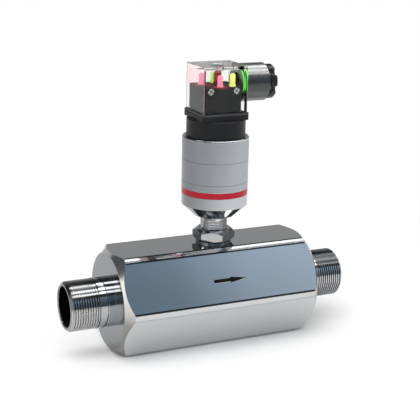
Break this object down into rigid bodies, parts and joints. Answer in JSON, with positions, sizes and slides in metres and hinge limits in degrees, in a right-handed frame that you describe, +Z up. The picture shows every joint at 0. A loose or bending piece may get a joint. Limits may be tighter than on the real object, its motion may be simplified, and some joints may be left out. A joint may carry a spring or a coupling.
{
  "type": "turbine flow meter",
  "caption": "In-line turbine flow meter: hexagonal steel body with threaded ends, a bladed rotor inside, and a pickup and amplifier with a lit plug on top.",
  "frame": {"origin": "under the middle of the hexagonal body, on its lower flat", "axes": "+X along the flow, from inlet to outlet; +Z up, towards the plug"},
  "size_m": [0.178, 0.067, 0.1663],
  "materials": {
    "polished_steel": "stainless steel, fine turned and polished",
    "turned_steel": "stainless steel, as turned",
    "spring_steel": "spring steel, oiled",
    "carbide_grey": "sintered tungsten carbide, lapped",
    "rotor_steel": "magnetic stainless steel, milled",
    "nickel_plate": "nickel plated steel",
    "tin_plate": "tin plated brass strip",
    "contact_brass": "turned brass",
    "copper_wire": "enamelled copper wire",
    "satin_foil": "satin foil, clear coated",
    "red_plastic": "moulded red plastic, glossy",
    "black_plastic": "glass filled polyamide, black",
    "dark_plastic": "moulded dark grey plastic, glossy",
    "natural_plastic": "natural moulded plastic",
    "board_laminate": "glass laminate with solder mask",
    "clear_plastic": "clear moulded polycarbonate",
    "red_lens": "red lamp resin",
    "yellow_lens": "yellow lamp resin",
    "green_lens": "green lamp resin",
    "seal_rubber": "moulded seal rubber"
  },
  "bodies": {
    "meter": {"meter_body": "polished_steel", "inlet_straightener": "turned_steel", "outlet_straightener": "turned_steel", "inlet_retaining_ring": "spring_steel", "outlet_retaining_ring": "spring_steel", "inlet_bush": "carbide_grey", "outlet_bush": "carbide_grey", "thrust_plates": "carbide_grey"},
    "turbine": {"rotor": "rotor_steel", "rotor_shaft": "carbide_grey"},
    "pickup": {"pickup_stem": "turned_steel", "coil_bobbin": "natural_plastic", "pickup_coil": "copper_wire", "pole_pin": "spring_steel", "pickup_magnet": "nickel_plate", "coil_leads": "copper_wire", "housing_base": "polished_steel", "red_band": "red_plastic", "housing_shell": "polished_steel", "label_sleeve": "satin_foil", "board_spacer": "natural_plastic", "circuit_board": "board_laminate", "board_components": "black_plastic", "connector_base": "black_plastic", "housing_seal": "seal_rubber", "contact_blades": "tin_plate", "profile_gasket": "seal_rubber"},
    "nut_washer": {"stem_washer": "turned_steel"},
    "nut": {"lock_nut": "turned_steel"},
    "plug": {"plug_hood": "clear_plastic", "terminal_block": "black_plastic", "contact_sockets": "tin_plate", "clamp_bushes": "contact_brass", "terminal_screws": "nickel_plate", "red_lamps": "red_lens", "yellow_lamp": "yellow_lens", "green_lamp": "green_lens", "gland_body": "dark_plastic", "gland_grommet": "seal_rubber"},
    "screw_seal": {"screw_washer": "seal_rubber"},
    "screw": {"centre_screw": "nickel_plate"},
    "gland_ring": {"thrust_ring": "natural_plastic"},
    "gland_cap": {"gland_nut": "dark_plastic"}
  },
  "joints": [
    {"name": "rotor_spin", "type": "hinge", "parent": "meter", "child": "turbine", "pos_m": [0.005, 0, 0.03], "axis": [1, 0, 0], "continuous": true},
    {"name": "housing_turn", "type": "hinge", "parent": "meter", "child": "pickup", "pos_m": [0.005, 0, 0.07], "axis": [0, 0, 1], "range_deg": [-180, 180]},
    {"name": "lock_nut_rise", "type": "slide", "parent": "meter", "child": "nut_washer", "axis": [0, 0, 1], "range_m": [0, 0.006]},
    {"name": "lock_nut_turn", "type": "hinge", "parent": "nut_washer", "child": "nut", "pos_m": [0.005, 0, 0.064], "axis": [0, 0, 1], "range_deg": [0, 2160]},
    {"name": "plug_lift", "type": "slide", "parent": "pickup", "child": "plug", "axis": [0, 0, 1], "range_m": [0, 0.02]},
    {"name": "centre_screw_rise", "type": "slide", "parent": "plug", "child": "screw_seal", "axis": [0, 0, 1], "range_m": [0, 0.012]},
    {"name": "centre_screw_turn", "type": "hinge", "parent": "screw_seal", "child": "screw", "pos_m": [0.005, 0, 0.1663], "axis": [0, 0, 1], "range_deg": [0, 8640]},
    {"name": "gland_ring_travel", "type": "slide", "parent": "plug", "child": "gland_ring", "axis": [1, 0, 0], "range_m": [0, 0.008]},
    {"name": "gland_nut_turn", "type": "hinge", "parent": "gland_ring", "child": "gland_cap", "pos_m": [0.037, 0, 0.1549], "axis": [1, 0, 0], "range_deg": [0, 1920]}
  ],
  "couplings": [
    {"joint": "lock_nut_turn", "follows": "lock_nut_rise", "rad_per_m": 6283.2},
    {"joint": "centre_screw_turn", "follows": "centre_screw_rise", "rad_per_m": 12566},
    {"joint": "gland_nut_turn", "follows": "gland_ring_travel", "rad_per_m": 4188.8}
  ]
}
